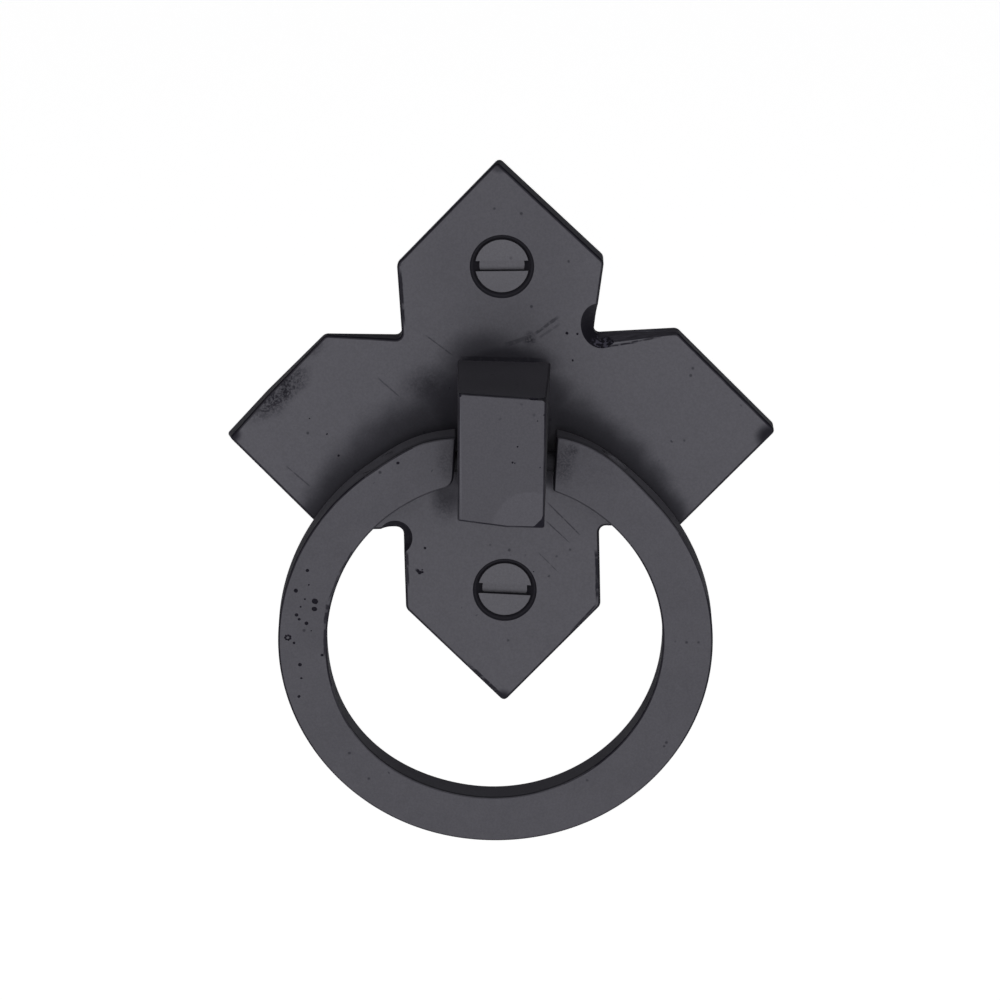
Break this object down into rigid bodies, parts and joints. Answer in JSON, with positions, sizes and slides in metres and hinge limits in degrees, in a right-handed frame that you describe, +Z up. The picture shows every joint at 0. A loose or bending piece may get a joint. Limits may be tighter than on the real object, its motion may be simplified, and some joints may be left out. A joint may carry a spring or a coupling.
{
  "type": "drop pull",
  "caption": "Drop pull for a drawer or door: an open ring hinged on a square post, on a cross-shaped backplate with pointed arms.",
  "frame": {"origin": "centre of the backplate's flat back face, which lies on the drawer front", "axes": "+Y into the wood, so the front looks along -Y; +Z up, along the line of the two screws; +X to the right as seen from the front"},
  "size_m": [0.063, 0.0379, 0.08],
  "materials": {
    "backplate_iron": "blackened, satin, file marks and small casting pits",
    "post_iron": "blackened, satin, filed faces",
    "ring_iron": "blackened, satin, small casting pits",
    "pin_steel": "blackened, ends dressed flush with the ring",
    "screw_steel": "blackened, worn lighter on the head"
  },
  "bodies": {
    "plate_and_post": {"backplate": "backplate_iron", "post": "post_iron", "top_screw": "screw_steel", "bottom_screw": "screw_steel"},
    "ring_and_pin": {"ring": "ring_iron", "pivot_pin": "pin_steel"}
  },
  "joints": [
    {"name": "ring_swing", "type": "hinge", "parent": "plate_and_post", "child": "ring_and_pin", "pos_m": [0, -0.0074, -0.0024], "axis": [-1, 0, 0], "range_deg": [0, 192]}
  ]
}
